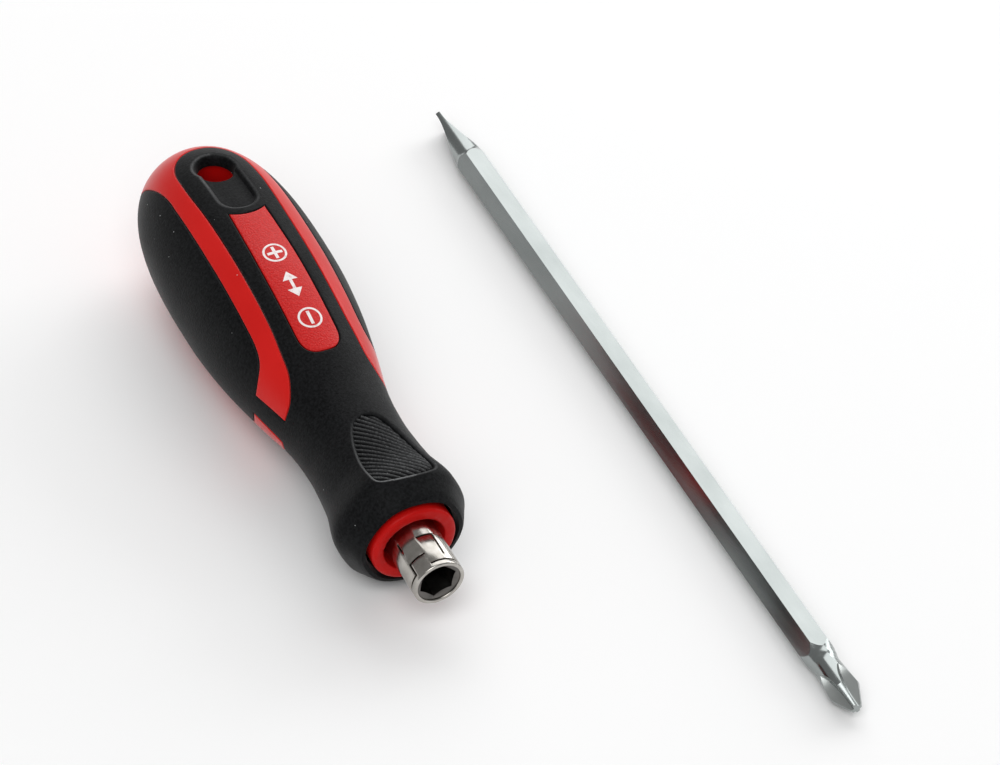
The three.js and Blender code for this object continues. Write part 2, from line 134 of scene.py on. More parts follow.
def turnedShape(corners, steps):           # corners are (radius, y) about the Y axis
    bm = bmesh.new()
    verts = [bm.verts.new((r, y, 0)) for r, y in corners]
    edges = [bm.edges.new(pair) for pair in zip(verts, verts[1:])]
    bmesh.ops.spin(bm, geom=verts + edges, cent=(0, 0, 0), axis=(0, 1, 0), angle=math.tau,
                   steps=steps, use_merge=True)
    bmesh.ops.remove_doubles(bm, verts=bm.verts, dist=0.0005)
    bmesh.ops.recalc_face_normals(bm, faces=bm.faces)
    return bm


def rod(radius, low, high, steps):
    return turnedShape([(0, low), (radius, low), (radius, high), (0, high)], steps)


def runOut(bm, faces, way):                # extrudes faces along a vector and gives the moved ones
    made = bmesh.ops.extrude_face_region(bm, geom=faces)["geom"]
    ends = [v for v in made if isinstance(v, bmesh.types.BMVert)]
    bmesh.ops.translate(bm, verts=ends, vec=way)
    return [f for f in made if isinstance(f, bmesh.types.BMFace)]


def prism(corners, *ways):                 # a flat outline, run along one vector after another
    bm = bmesh.new()
    start = bm.faces.new([bm.verts.new(corner) for corner in corners])
    ends = [start]
    for way in ways:
        moved = runOut(bm, ends, way)
        inner = [f for f in ends if f is not start]   # left in, they would spoil the closed solid
        bmesh.ops.delete(bm, geom=inner, context="FACES_ONLY")
        ends = moved
    bmesh.ops.recalc_face_normals(bm, faces=bm.faces)
    return bm


def hexBar(acrossFlats, firstAngle, low, high):   # along Y, angles count from the top towards +X
    reach = acrossFlats / math.sqrt(3)
    turns = [math.radians(firstAngle + 60 * k) for k in range(6)]
    return prism([(reach * math.sin(t), low, reach * math.cos(t)) for t in turns], (0, high - low, 0))


def cutWith(bm, cutters, operation="DIFFERENCE"):
    blank = looseObject(bm, "blank")
    for cutter in cutters:
        tool = looseObject(cutter, "cutter")
        step = blank.modifiers.new("cut", "BOOLEAN")
        step.solver = "MANIFOLD"           # takes closed meshes only, and skips the cut otherwise
        step.operation = operation
        step.object = tool
        state = bpy.context.evaluated_depsgraph_get()
        cut = bpy.data.meshes.new_from_object(blank.evaluated_get(state))
        blank.modifiers.clear()
        blank.data = cut
        bpy.data.objects.remove(tool)
    done = bmesh.new()
    done.from_mesh(blank.data)
    bpy.data.objects.remove(blank)
    return done


def joined(*parts):
    whole = bmesh.new()
    for part in parts:
        mesh = bpy.data.meshes.new("part")
        part.to_mesh(mesh)
        part.free()
        whole.from_mesh(mesh)
        bpy.data.meshes.remove(mesh)
    return whole


# Handle's outline, front lip to butt
body = {
    "length": 106.4,
    "frontAt": 1.0, "frontRadius": 10.1,
    "lipRadius": 9.0, "lipDepth": 2.4,
    "lipWall": 0.4, "wallRise": 0.5,       # wall at the lip, and how fast it thickens behind it
    "collarAt": 7.4, "collarRadius": 12.75, "collarFlatness": 0.02, "collarReach": 8.0,
    "collarSides": 6,                      # the collar is faintly six-sided
    "waistAt": 26.0, "waistRadius": 10.2,
    "bellyAt": 73.0, "bellyRadius": 16.045,
    "buttPower": 2.5, "buttRoot": 3.0,
    "twist": 3.0,                          # degrees: the thumb pads sit a little beside the crown line
    "twistEnd": 34.0,                      # mm behind the ring's face, where that turn has faded out
    "flatRadius": 14.0,                    # radius at which the skin is unrolled
}


def bodyStations():
    front, collar, waist, belly = (body[k + "At"] for k in ("front", "collar", "waist", "belly"))
    rFront, rCollar, rWaist, rBelly = (body[k + "Radius"] for k in ("front", "collar", "waist", "belly"))
    return [
        (front, rFront),
        (mix(front, collar, 0.5), mix(rFront, rCollar, 0.6)),
        (collar, rCollar),
        (mix(collar, waist, 0.35), mix(rCollar, rWaist, 0.6)),
        (mix(collar, waist, 0.68), mix(rCollar, rWaist, 0.9)),
        (waist, rWaist),
        (mix(waist, belly, 0.17), mix(rWaist, rBelly, 0.1)),
        (mix(waist, belly, 0.38), mix(rWaist, rBelly, 0.46)),
        (mix(waist, belly, 0.6), mix(rWaist, rBelly, 0.78)),
        (mix(waist, belly, 0.81), mix(rWaist, rBelly, 0.96)),
        (belly, rBelly),
    ]


def bodyOutline():
    line = softLine(bodyStations(), 14)[:-1]
    span, steps = body["length"] - body["bellyAt"], 90
    for k in range(steps + 1):
        reach = math.sin(k / steps * math.pi / 2) ** (2 / body["buttPower"])
        radius = body["bellyRadius"] * max(1 - reach ** body["buttPower"], 0) ** (1 / body["buttRoot"])
        line.append((body["bellyAt"] + span * reach, radius))
    rLip, front, rFront = body["lipRadius"], body["frontAt"], body["frontRadius"]
    lipMeet = front + 0.35                 # where the rolled lip runs into the outline
    lip = softLine([
        (front + body["lipDepth"], rLip),
        (front + 0.8, rLip),
        (front + 0.25, mix(rLip, rFront, 0.12)),
        (front + 0.02, mix(rLip, rFront, 0.4)),
        (front + 0.08, mix(rLip, rFront, 0.75)),
        (lipMeet, rFront + 0.12),
    ], 5)
    return lip[:-1] + [point for point in line if point[0] > lipMeet]


outline = np.array(bodyOutline())
lineY, lineR = outline[:, 0], outline[:, 1]
lineS = np.concatenate([[0], np.cumsum(np.hypot(np.diff(lineY), np.diff(lineR)))])
slopeY, slopeR = np.gradient(lineY, lineS), np.gradient(lineR, lineS)
slopeLength = np.hypot(slopeY, slopeR)
normalY, normalR = -slopeR / slopeLength, slopeY / slopeLength
tipOfLip = int(np.argmin(lineY))
fullS = lineS[-1]
lipS = lineS[tipOfLip]


def radiusAt(y):
    return float(np.interp(y, lineY[tipOfLip:], lineR[tipOfLip:]))


def along(y):                              # distance along the skin
    return float(np.interp(y, lineY[tipOfLip:], lineS[tipOfLip:]))


def wallAt(s, wall):                       # the skin thins out towards the lip round the ring
    return np.clip(body["lipWall"] + (s - lipS) * body["wallRise"], body["lipWall"], wall)


def bendOver(bm, wall=None):               # unrolled (u, s, depth) to the handle's skin
    flat = np.array([v.co for v in bm.verts])
    u, s, d = flat[:, 0], flat[:, 1], flat[:, 2]
    if wall:
        d = np.where(d < -0.5 * wall, -wallAt(s, wall), d)
    y = np.interp(s, lineS, lineY) + d * np.interp(s, lineS, normalY)
    r = np.interp(s, lineS, lineR) + d * np.interp(s, lineS, normalR)
    angle = u / body["flatRadius"]
    near = np.exp(-((y - body["collarAt"]) / body["collarReach"]) ** 2)
    r = np.maximum(r, 0) * (1 - body["collarFlatness"] * near * np.cos(body["collarSides"] * angle))
    for v, x, yy, z in zip(bm.verts, r * np.sin(angle), y, r * np.cos(angle)):
        v.co = (x, yy, z)


def twistFront(bm):                        # turns the collar end of the skin, fading out behind the waist
    for v in bm.verts:
        share = min(max((body["twistEnd"] - v.co.y) / (body["twistEnd"] - body["waistAt"]), 0), 1)
        turn = math.radians(body["twist"]) * share * share * (3 - 2 * share)
        x, z = v.co.x, v.co.z
        v.co.x, v.co.z = x * math.cos(turn) + z * math.sin(turn), z * math.cos(turn) - x * math.sin(turn)


# Red and black fields: borders on the unrolled skin, one quarter of the way round
fields = {
    "gap": 0.2,                            # open shut line between red and black
    "stripHalf": 7.5, "stripFlare": 0.7, "stripEnd": 100.6, "stripEndLength": 7.3,
    "stripeWidth": 4.5, "stripeFront": 34.7, "stripeHeel": 43.5,
    "footReach": 7.0, "heelReach": 10.4, "heelBend": 5.6,
    "panelEnd": 101.9, "panelEndLength": 15.2,
}
fieldEnd = fields["panelEnd"] - fields["panelEndLength"]
sideU = math.pi / 2 * body["flatRadius"]


def unrolled(points):                      # (arc, y) in mm to the flat (u, s)
    held = [min(y, fieldEnd) for arc, y in points]
    return [(arc / radiusAt(h) * body["flatRadius"], along(y)) for (arc, y), h in zip(points, held)]


def stripBorder(gap):                      # from the crown line at the butt forward to the stripe's foot
    f = fields
    turn = f["stripEnd"] - f["stripEndLength"]
    edge = f["stripHalf"] + gap
    belly = body["bellyAt"]
    end = [(a, turn + y) for a, y in roundEnd(edge + f["stripFlare"], f["stripEndLength"] + gap, 2.5, 24)]
    side = softLine([
        (edge + f["stripFlare"], turn),
        (edge + 0.35 * f["stripFlare"], mix(turn, belly, 0.5)),
        (edge, belly),
        (edge, mix(f["stripeHeel"], belly, 0.3)),
        (edge + 0.07 * f["footReach"], mix(f["stripeHeel"], belly, 0.03)),
        (edge + 0.16 * f["footReach"], mix(f["stripeFront"], f["stripeHeel"], 0.55)),
        (edge + 0.5 * f["footReach"], mix(f["stripeFront"] + gap, f["stripeHeel"] - gap, 0.12)),
        (edge + f["footReach"] - 2 * gap, f["stripeFront"] + gap),
    ], 8)
    return unrolled(end[:-1] + side)


def panelBorder(gap):                      # from the stripe's heel back to the side line at the butt
    f = fields
    edge = f["stripHalf"] + f["stripeWidth"] - gap
    swing = f["heelReach"] - f["stripeWidth"]
    heel = f["stripeHeel"] - gap
    sideArc = math.pi / 2 * radiusAt(fieldEnd)
    outer = softLine([
        (f["stripHalf"] + f["heelReach"] - gap, heel),
        (edge + 0.61 * swing, heel + 0.14 * f["heelBend"]),
        (edge + 0.2 * swing, heel + 0.45 * f["heelBend"]),
        (edge + 0.03 * swing, heel + f["heelBend"]),
        (edge, mix(f["stripeHeel"], body["bellyAt"], 0.4)),
        (edge, body["bellyAt"]),
        (edge, fieldEnd),
    ], 8)
    end = roundEnd(sideArc - edge, f["panelEndLength"] + gap, 2, 24)
    return unrolled(outer[:-1] + [(sideArc - a, fieldEnd + y) for a, y in reversed(end)])


# Label pad, thumb pad, and the channel that runs out of the hang hole: half borders beside the crown line
label = {
    "half": 4.3, "front": 40.8, "nose": 5.2, "rear": 76.6, "rearSag": 1.3, "rearNarrow": 0.4,
    "drop": 0.12, "cell": 0.6,
}
thumb = {
    "front": 5.9, "length": 19.3, "half": 6.4, "edge": 0.55,
    "depth": 0.95, "floor": 1.9, "spare": 0.35, "cell": 0.17,   # the spare runs in under the grip
    "ribPitch": 1.44, "ribFirst": 1.29, "ribLean": -44.0, "ribHeight": 0.7, "ribSharpness": 5.0,
    "ribClear": 1.1,                       # mm over which the ribs run out at the right rim
}
channel = {
    "half": 3.6, "front": 78.7, "edge": 0.85,
    "depth": 1.45, "dish": 0.4, "spare": 0.35, "cell": 0.35,   # the floor rises by the dish at its sides
}
hole = {
    "at": 92.5, "radius": 4.0, "coreRadius": 3.7,
    "liningEnd": 7.8, "liningWall": 0.8, "liningPlay": 0.03, "liningDrop": 0.25,
}


def labelBorder(gap):                      # front tip to the rear middle
    half = label["half"] - gap
    rear = label["rear"] - gap
    nose = [(a, label["front"] + label["nose"] - y)
            for a, y in roundEnd(half, label["nose"] - gap, 2.6, 16)]
    rearHalf = half - label["rearNarrow"]
    sideMiddle = (half, mix(label["front"], rear, 0.6))
    side = softLine([nose[-1], sideMiddle, (rearHalf, rear + label["rearSag"])], 6)
    shares = [k / 8 for k in range(7, -1, -1)]
    back = [(share * rearHalf, rear + label["rearSag"] * share ** 2) for share in shares]
    return unrolled(nose[:-1] + side + back)


def thumbBorder(spare):                    # front middle to the rear tip
    half, front, length = thumb["half"] + spare, thumb["front"] - spare, thumb["length"] + 2 * spare
    shares = [(0, 0), (0.5, 0.01), (0.92, 0.06), (1, 0.2), (0.93, 0.47), (0.72, 0.74), (0.42, 0.93), (0, 1)]
    return unrolled(softLine([(a * half, front + b * length) for a, b in shares], 8))


def channelBorder(spare):                  # round front end to where the sides run into the hole
    half = channel["half"] + spare
    end = [(a, channel["front"] + channel["half"] - y) for a, y in roundEnd(half, half, 2, 14)]
    meet = hole["at"] - math.sqrt(hole["radius"] ** 2 - channel["half"] ** 2)
    return unrolled(end + [(half, mix(end[-1][1], meet, 0.5)), (half, meet)])


def holeArc(fromTurn, toTurn, steps):      # turns count from the hole's front, on the skin
    points = []
    for k in range(steps + 1):
        turn = math.radians(mix(fromTurn, toTurn, k / steps))
        x, y = hole["radius"] * math.sin(turn), hole["at"] - hole["radius"] * math.cos(turn)
        points.append((math.asin(x / radiusAt(y)) * body["flatRadius"], along(y)))
    return points


meetTurn = math.degrees(math.asin(channel["half"] / hole["radius"]))


def mirroredBorder(half):                  # a half border beside the crown line, both sides
    return half + [(-u, s) for u, s in reversed(half) if abs(u) > 1e-6]


# Flat plates on the unrolled skin
def sunkPlate(borders, wall):
    bm = bmesh.new()
    corners = {}
    for u, s in (corner for border in borders for corner in border):
        corners.setdefault((round(u, 5), round(s, 5)), None)
    for key in corners:
        corners[key] = bm.verts.new((*key, 0))
    tops = [bm.faces.new([corners[round(u, 5), round(s, 5)] for u, s in border]) for border in borders]
    runOut(bm, tops, (0, 0, -wall))
    bmesh.ops.recalc_face_normals(bm, faces=bm.faces)
    return bm


def easeRims(bm, width, level, wanted, segments=3):   # rounds the rim edges at one level of a plate
    bm.normal_update()
    rims = [e for e in bm.edges if all(abs(v.co.z - level) < 1e-6 for v in e.verts)]
    rims = [e for e in rims if any(abs(f.normal.z) < 0.5 for f in e.link_faces) and wanted(*e.verts)]
    roundEdges(bm, rims, width, segments)


def gridCut(bm, cell, axes=(0, 1)):
    for axis in axes:
        reach = [v.co[axis] for v in bm.verts]
        low, high = min(reach), max(reach)
        count = max(int((high - low) / cell), 1)
        for k in range(1, count):
            point, normal = Vector((0, 0, 0)), Vector((0, 0, 0))
            point[axis] = mix(low, high, k / count)
            normal[axis] = 1
            bmesh.ops.bisect_plane(bm, geom=allOf(bm), dist=0.02, plane_co=point, plane_no=normal)


def openAt(bm, isEnd):                     # takes the end walls off, where a mirrored half joins on
    ends = [f for f in bm.faces if all(isEnd(v.co) for v in f.verts)]
    bmesh.ops.delete(bm, geom=ends, context="FACES_ONLY")


def mirrorOver(bm, axis):
    bmesh.ops.mirror(bm, geom=allOf(bm), matrix=Matrix.Identity(4), merge_dist=0.004, axis=axis)


def onCrownOrSide(co):
    return abs(co.x) < 1e-4 or abs(co.x - sideU) < 1e-4


def bothFaces(bm):                         # one on top, and its half turn below
    copies = bmesh.ops.duplicate(bm, geom=allOf(bm))["geom"]
    lower = [v for v in copies if isinstance(v, bmesh.types.BMVert)]
    turnAbout(bm, 180, "Y", lower)
    return bm


# Black grip
grip = {
    "wall": 2.4, "edge": 0.2, "cell": 0.8,
    "thumbWearAndHighlight": 0.8, "channelWearAndHighlight": 0.5, "rimWearAndHighlight": 0.08,   # how far the rims are painted pale, 0 to 1: partly wear, partly painted highlight
    "rearHighlightShare": 0.1, "rightHighlightShare": 0.35,    # shares of it kept at the thumb pad's rear and right of the crown, dimmer there as painted shade
    "paleRimDepth": 0.3,                      # mm below the skin that count as rim
}


def gripShell():
    border = [(0, 0)]
    border += thumbBorder(0)
    border += labelBorder(0)
    border += channelBorder(0)[:-1]
    border += holeArc(meetTurn, 180, 24)
    border += stripBorder(0)
    border += panelBorder(0)
    border += [(sideU, 0)]
    bm = sunkPlate([border], grip["wall"])
    slack = 0.01
    padFront, padEnd = along(thumb["front"]) - slack, along(thumb["front"] + thumb["length"]) + slack
    channelFront, channelEnd = along(channel["front"]) - slack, along(hole["at"] + hole["radius"]) + slack
    beside = fields["stripHalf"] * 0.75

    def onJoin(a, b):
        return onCrownOrSide(a.co) and onCrownOrSide(b.co)

    def thumbRims(a, b):
        inside = all(padFront < v.co.y < padEnd and v.co.x < sideU / 2 for v in (a, b))
        return inside and not onJoin(a, b)

    def channelRims(a, b):
        inside = all(channelFront < v.co.y < channelEnd and v.co.x < beside for v in (a, b))
        return inside and not onJoin(a, b)

    def otherRims(a, b):
        atFront = all(v.co.y < padEnd for v in (a, b))
        return not (onJoin(a, b) or atFront or channelRims(a, b))

    wearAndHighlight = bm.verts.layers.float.new("wearAndHighlight")
    rims = [
        (thumb["edge"], thumbRims, grip["thumbWearAndHighlight"]),
        (channel["edge"], channelRims, grip["channelWearAndHighlight"]),
        (grip["edge"], otherRims, grip["rimWearAndHighlight"]),
    ]
    # rims painted pale: partly wear, partly painted highlight
    for width, wanted, amount in rims:
        easeRims(bm, width, 0, wanted)
        for v in bm.verts:
            if -grip["paleRimDepth"] < v.co.z < -1e-4 and v[wearAndHighlight] == 0:
                v[wearAndHighlight] = amount
            # the thumb pad's pale rim fades towards its rear: painted highlight, brighter at the front
            if wanted is thumbRims and v[wearAndHighlight] > 0:
                v[wearAndHighlight] *= max(1 - (v.co.y - padFront) / (padEnd - padFront), grip["rearHighlightShare"])
    gridCut(bm, grip["cell"])
    openAt(bm, onCrownOrSide)
    bendOver(bm, grip["wall"])
    mirrorOver(bm, "X")
    for v in bm.verts:
        if v.co.x > 1:                     # to the right of the crown line, where the pale rims are dimmed as painted shade
            v[wearAndHighlight] *= grip["rightHighlightShare"]
    mirrorOver(bm, "Z")
    twistFront(bm)
    return bm


def ribShare(u, s):                        # parallel ribs slanting across the thumb pad, 1 on the ridges
    y = float(np.interp(s, lineS[tipOfLip:], lineY[tipOfLip:]))
    arc = u / body["flatRadius"] * radiusAt(y)
    crossing = (y - arc * math.tan(math.radians(thumb["ribLean"])) - thumb["ribFirst"]) / thumb["ribPitch"]
    return (0.5 + 0.5 * math.cos(math.tau * crossing)) ** thumb["ribSharpness"]


def thumbPad():
    bm = sunkPlate([mirroredBorder(thumbBorder(thumb["spare"]))], thumb["floor"])
    gridCut(bm, thumb["cell"])
    wearAndHighlight = bm.verts.layers.float.new("wearAndHighlight")
    rim = np.array(thumbBorder(0))
    for v in bm.verts:
        room = float(np.interp(v.co.y, rim[:, 1], rim[:, 0])) - v.co.x
        ridge = ribShare(v.co.x, v.co.y) * min(max(room / thumb["ribClear"], 0), 1)
        # rib tops painted pale: partly wear, partly painted highlight
        v[wearAndHighlight] = ridge ** 2
        if v.co.z > -0.5 * thumb["floor"]:
            v.co.z = thumb["ribHeight"] * ridge - thumb["depth"]
    bendOver(bm)
    twistFront(bm)
    return bm


def channelFloor():
    half = channelBorder(channel["spare"])[:-1] + holeArc(meetTurn, 0, 12)
    bm = sunkPlate([mirroredBorder(half)], grip["wall"])
    gridCut(bm, channel["cell"])
    scale = radiusAt(hole["at"]) / body["flatRadius"] / channel["half"]
    for v in bm.verts:
        if v.co.z > -0.5 * grip["wall"]:
            v.co.z = channel["dish"] * min(abs(v.co.x) * scale, 1) ** 4 - channel["depth"]
    bendOver(bm)
    return bm


def holeLining():                          # carries the grip's wall down round the hole
    inner, outer = hole["radius"] - hole["liningPlay"], hole["radius"] + hole["liningWall"]
    low, high = hole["liningEnd"], body["bellyRadius"]
    bm = turnedShape([(inner, low), (inner, high), (outer, high), (outer, low), (inner, low)], 64)
    turnAbout(bm, 90, "X")
    drop = channel["depth"] + hole["liningDrop"]
    for v in bm.verts:
        v.co.y += hole["at"]
        if v.co.z > mix(low, high, 0.5):   # its upper end follows the skin, below the channel's floor
            v.co.z = math.sqrt(max(radiusAt(v.co.y) ** 2 - v.co.x ** 2, 0)) - drop
    return bm


# Red core
core = {
    "wall": 2.4, "edge": 0.16, "cell": 0.8,
    "under": 2.5, "tail": 102.6, "drillReach": 30.0,
    "ring": 8.35, "ringEase": 0.8, "recess": 6.0, "recessDepth": 3.6,
    "seat": 5.05, "seatEnd": 14.2, "bore": 4.2, "boreDepth": 25.0,
    "rough": 0.05, "flash": 0.22,          # unevenness of the ring's moulded edge
}


def redSkin():
    gap = fields["gap"]
    border = [(0, fullS)]
    border += stripBorder(gap)
    border += panelBorder(gap)
    border += [(sideU, fullS)]
    bm = sunkPlate([border], core["wall"])

    def fieldRims(a, b):
        return not all(onCrownOrSide(v.co) or v.co.y > fullS - 1e-4 for v in (a, b))

    easeRims(bm, core["edge"], 0, fieldRims)
    gridCut(bm, core["cell"])
    openAt(bm, onCrownOrSide)
    bendOver(bm, core["wall"])
    mirrorOver(bm, "X")
    mirrorOver(bm, "Z")
    return bm


def labelPad():
    bm = sunkPlate([mirroredBorder(labelBorder(fields["gap"]))], core["wall"])
    easeRims(bm, core["edge"], 0, lambda a, b: True)
    gridCut(bm, label["cell"])
    for v in bm.verts:
        if v.co.z > -0.5 * core["wall"]:
            v.co.z -= label["drop"]
    bendOver(bm, core["wall"])
    return bm


def coreBody():
    ease = core["ringEase"]
    rimIn, rimOut = core["recess"], core["ring"]
    corners = [
        (0, core["boreDepth"]),
        (core["bore"], core["boreDepth"]),
        (core["bore"], core["seatEnd"]),
        (core["seat"], core["seatEnd"]),
        (core["seat"], core["recessDepth"]),
    ]
    corners += softLine([
        (rimIn - 0.05, 1.4 * ease),
        (rimIn, 0.6 * ease),
        (rimIn + 0.2, 0.12 * ease),
        (mix(rimIn, rimOut, 0.45), 0),
        (rimOut - 0.6 * ease, 0.15 * ease),
        (rimOut - 0.15 * ease, 0.5 * ease),
        (rimOut, ease),
    ], 4)
    corners.append((rimOut, body["collarAt"]))
    steps = 39
    for k in range(1, steps + 1):          # the rest keeps below the grip and the red skin
        y = mix(body["collarAt"], core["tail"], k / steps)
        deep = radiusAt(y) - core["under"]
        corners.append((min(deep, rimOut) if y < body["waistAt"] else deep, y))
    corners.append((0, core["tail"]))
    drill = rod(hole["coreRadius"], -core["drillReach"], core["drillReach"], 48)
    turnAbout(drill, 90, "X")
    bmesh.ops.translate(drill, verts=drill.verts, vec=(0, hole["at"], 0))
    bm = cutWith(turnedShape(corners, 128), [drill])
    for v in bm.verts:                     # moulding flash round the ring, ragged at its left
        if v.co.y < ease + 0.1:
            reach = math.hypot(v.co.x, v.co.z)
            ragged = max(-v.co.x / reach, 0) ** 6 * abs(reach - mix(rimIn, rimOut, 0.5))
            v.co.y += core["rough"] * (1 + noise.noise(v.co * 0.9))
            v.co.y += core["flash"] * ragged * (1 + noise.noise(v.co * 2.6))
    return bm


# Tip symbols printed on the upper label: the slotted end, a turn-round arrow, the cross end
ink = {
    "level": -0.10, "wall": 0.05, "cell": 0.5,
    "slotAt": 48.4, "arrowAt": 56.6, "crossAt": 64.8,
    "ring": 2.35, "line": 0.42, "barSpare": 0.1,   # the bars are bolder than the rings
    "arrowHalf": 3.1, "arrowHead": 1.5, "arrowHeadLength": 2.0,
}


def inkPlate(shapes, middle):              # shapes are (across, along) round a place on the crown line
    scale = body["flatRadius"] / radiusAt(middle)
    bm = sunkPlate([[(a * scale, along(middle) + b) for a, b in shape] for shape in shapes], ink["wall"])
    gridCut(bm, ink["cell"])
    for v in bm.verts:
        v.co.z += ink["level"]
    bendOver(bm)
    return bm


def ringShapes():                          # two half rings that share their ends
    outer, inner = ink["ring"], ink["ring"] - ink["line"]
    shapes, steps = [], 24
    for start in (0, 180):
        turns = [math.radians(start + 180 * k / steps) for k in range(steps + 1)]
        out = [(outer * math.sin(t), outer * math.cos(t)) for t in turns]
        shapes.append(out + [(inner * math.sin(t), inner * math.cos(t)) for t in reversed(turns)])
    return shapes


def tipSymbols():
    reach, half = ink["ring"] - 2 * ink["line"], ink["line"] / 2 + ink["barSpare"]
    bar = [(-half, -reach), (half, -reach), (half, reach), (-half, reach)]
    cross = [(half, reach), (-half, reach), (-half, half), (-reach, half), (-reach, -half), (-half, -half),
             (-half, -reach), (half, -reach), (half, -half), (reach, -half), (reach, half), (half, half)]
    tip, head, wing = ink["arrowHalf"], ink["arrowHalf"] - ink["arrowHeadLength"], ink["arrowHead"]
    arrow = [(0, tip), (-wing, head), (-half, head), (-half, -head), (-wing, -head), (0, -tip),
             (wing, -head), (half, -head), (half, head), (wing, head)]
    slotSign = inkPlate(ringShapes() + [bar], ink["slotAt"])
    crossSign = inkPlate(ringShapes() + [cross], ink["crossAt"])
    return joined(slotSign, inkPlate([arrow], ink["arrowAt"]), crossSign)


# Socket sleeve: a rolled sheet with slits. Angles in degrees from the top towards +X, y as for the handle
sleeve = {
    "radius": 5.0, "wall": 0.8, "front": -10.3, "rear": 14.0, "edge": 0.06, "nose": 0.26, "step": 4.0,
    "joint": -38.0, "split": -2.45,        # where the sheet is rolled shut, and where its outline is split
    "slit": 0.36, "slitTurn": 4.3,         # slit widths: mm where they run round, degrees where along
    "noseAt": -9.1, "tabAt": -6.4, "tabLeft": -57.0, "tabRight": -19.0,
    "tongueRear": -2.3, "tongueFront": -7.6, "tongueLeft": -17.5, "tongueRight": 21.5,
    "seamFront": -3.0, "seamRear": -1.0,
}


def sleeveSheets():
    k = sleeve
    half = k["slit"] / 2
    start, end = k["joint"], k["joint"] + 360
    left, far = k["tabLeft"] + 360 - k["slitTurn"], k["tabLeft"] + 360
    noseLow, noseHigh = k["noseAt"] - half, k["noseAt"] + half
    tabLow, tabHigh = k["tabAt"] - half, k["tabAt"] + half
    arm, split, back = k["tongueRight"] - k["slitTurn"], k["split"], k["tongueRear"]
    frontSheet = [
        (start, k["front"]), (end, k["front"]), (end, tabLow), (far, tabLow), (far, noseLow),
        (k["tabRight"], noseLow), (k["tabRight"], noseHigh), (left, noseHigh), (left, tabHigh),
        (end, tabHigh), (end, split), (far, split), (far, k["seamFront"]), (left, k["seamFront"]),
        (left, split), (k["tongueRight"], split), (k["tongueRight"], k["tongueFront"]),
        (arm, k["tongueFront"]), (arm, back - k["slit"]), (k["tongueLeft"], back - k["slit"]),
        (k["tongueLeft"], split), (start, split), (start, tabHigh), (k["tabRight"], tabHigh),
        (k["tabRight"], tabLow), (start, tabLow),
    ]
    rearSheet = [
        (start, split), (k["tongueLeft"], split), (k["tongueLeft"], back), (k["tongueRight"], back),
        (k["tongueRight"], split), (left, split), (left, k["seamRear"]), (far, k["seamRear"]), (far, split),
        (end, split), (end, k["rear"]), (start, k["rear"]),
    ]
    scale = math.radians(1) * k["radius"]
    return [[(a * scale, y) for a, y in sheet] for sheet in (frontSheet, rearSheet)]


def slitSleeve():
    k = sleeve
    bm = sunkPlate(sleeveSheets(), k["wall"])
    ends = [math.radians(k["joint"] + turn) * k["radius"] for turn in (0, 360)]

    def onJoint(co):
        return min(abs(co.x - end) for end in ends) < 1e-3

    def onNose(a, b):
        return all(abs(v.co.y - k["front"]) < 1e-4 for v in (a, b))

    def slitRims(a, b):
        return not onNose(a, b) and not all(onJoint(v.co) for v in (a, b))

    easeRims(bm, k["edge"], 0, slitRims, 2)
    easeRims(bm, k["nose"], 0, onNose, 4)
    easeRims(bm, k["nose"], -k["wall"], onNose, 4)
    gridCut(bm, math.radians(k["step"]) * k["radius"], (0,))
    openAt(bm, onJoint)
    for v in bm.verts:
        turn, reach = v.co.x / k["radius"], k["radius"] + v.co.z
        v.co = (reach * math.sin(turn), v.co.y, reach * math.cos(turn))
    return bm


# Hex bush in the sleeve
bush = {
    "radius": 4.19, "front": -9.9, "rear": 11.0,
    "flats": 6.4, "cornerAngle": 8.0,
    "mouth": 4.1, "leadTo": 3.2, "lead": 0.5,   # countersink at the front
}


def hexBush():
    k = bush
    before, leadEnd = k["front"] - overrun, k["front"] + k["lead"]
    mouth = turnedShape([
        (0, before),
        (k["mouth"], before),
        (k["mouth"], k["front"]),
        (k["leadTo"], leadEnd),
        (0, leadEnd),
    ], 64)
    bore = hexBar(k["flats"], k["cornerAngle"], before - overrun, k["rear"] + overrun)
    return cutWith(rod(k["radius"], k["front"], k["rear"], 64), [bore, mouth])


# Blade: hex bar, cross point at the low end, slotted tip at the high end, a flat on top
blade = {
    "half": 89.98, "flats": 5.98, "shoulder": 2.1, "spare": 0.2, "edge": 0.07, "edgeAngle": 14.0,
    "endRadius": 1.15, "endEase": 0.2, "coneLength": 4.6, "wingRadius": 3.0,   # cross point
    "neckRadius": 2.55, "neckAt": 11.2, "crossLength": 14.2, "fluteRoot": 0.5, "fluteLength": 10.0,
    "taper": 13.0, "tipHalf": 0.45, "roundRadius": 2.86, "grindLean": 60.0,   # slotted tip
    "tipEdge": 0.3, "tipAngle": 18.0, "tipClear": 0.6,
}


def bladeEnvelope():
    k = blade
    low, high = -k["half"], k["half"]
    half = k["flats"] / 2
    corner = k["flats"] / math.sqrt(3) + k["spare"]
    cross = softLine([
        (k["wingRadius"], low + k["coneLength"]),
        (mix(k["wingRadius"], k["neckRadius"], 0.18), low + mix(k["coneLength"], k["neckAt"], 0.18)),
        (k["neckRadius"], low + k["neckAt"]),
        (mix(k["neckRadius"], half, 0.55), low + mix(k["neckAt"], k["crossLength"], 0.6)),
        (half, low + k["crossLength"]),
        (corner, low + k["crossLength"] + k["shoulder"]),
    ], 8)
    heel = high - k["taper"]
    slotted = softLine([
        (corner, heel - k["shoulder"]),
        (mix(corner, k["roundRadius"], 0.6), heel - 0.45 * k["shoulder"]),
        (k["roundRadius"], heel + 0.1),
        (k["roundRadius"], heel + 2),
        (k["roundRadius"], high),
    ], 6)
    start = [(0, low), (k["endRadius"] - k["endEase"], low), (k["endRadius"], low + k["endEase"])]
    return turnedShape([*start, *cross, *slotted, (0, high)], 96)


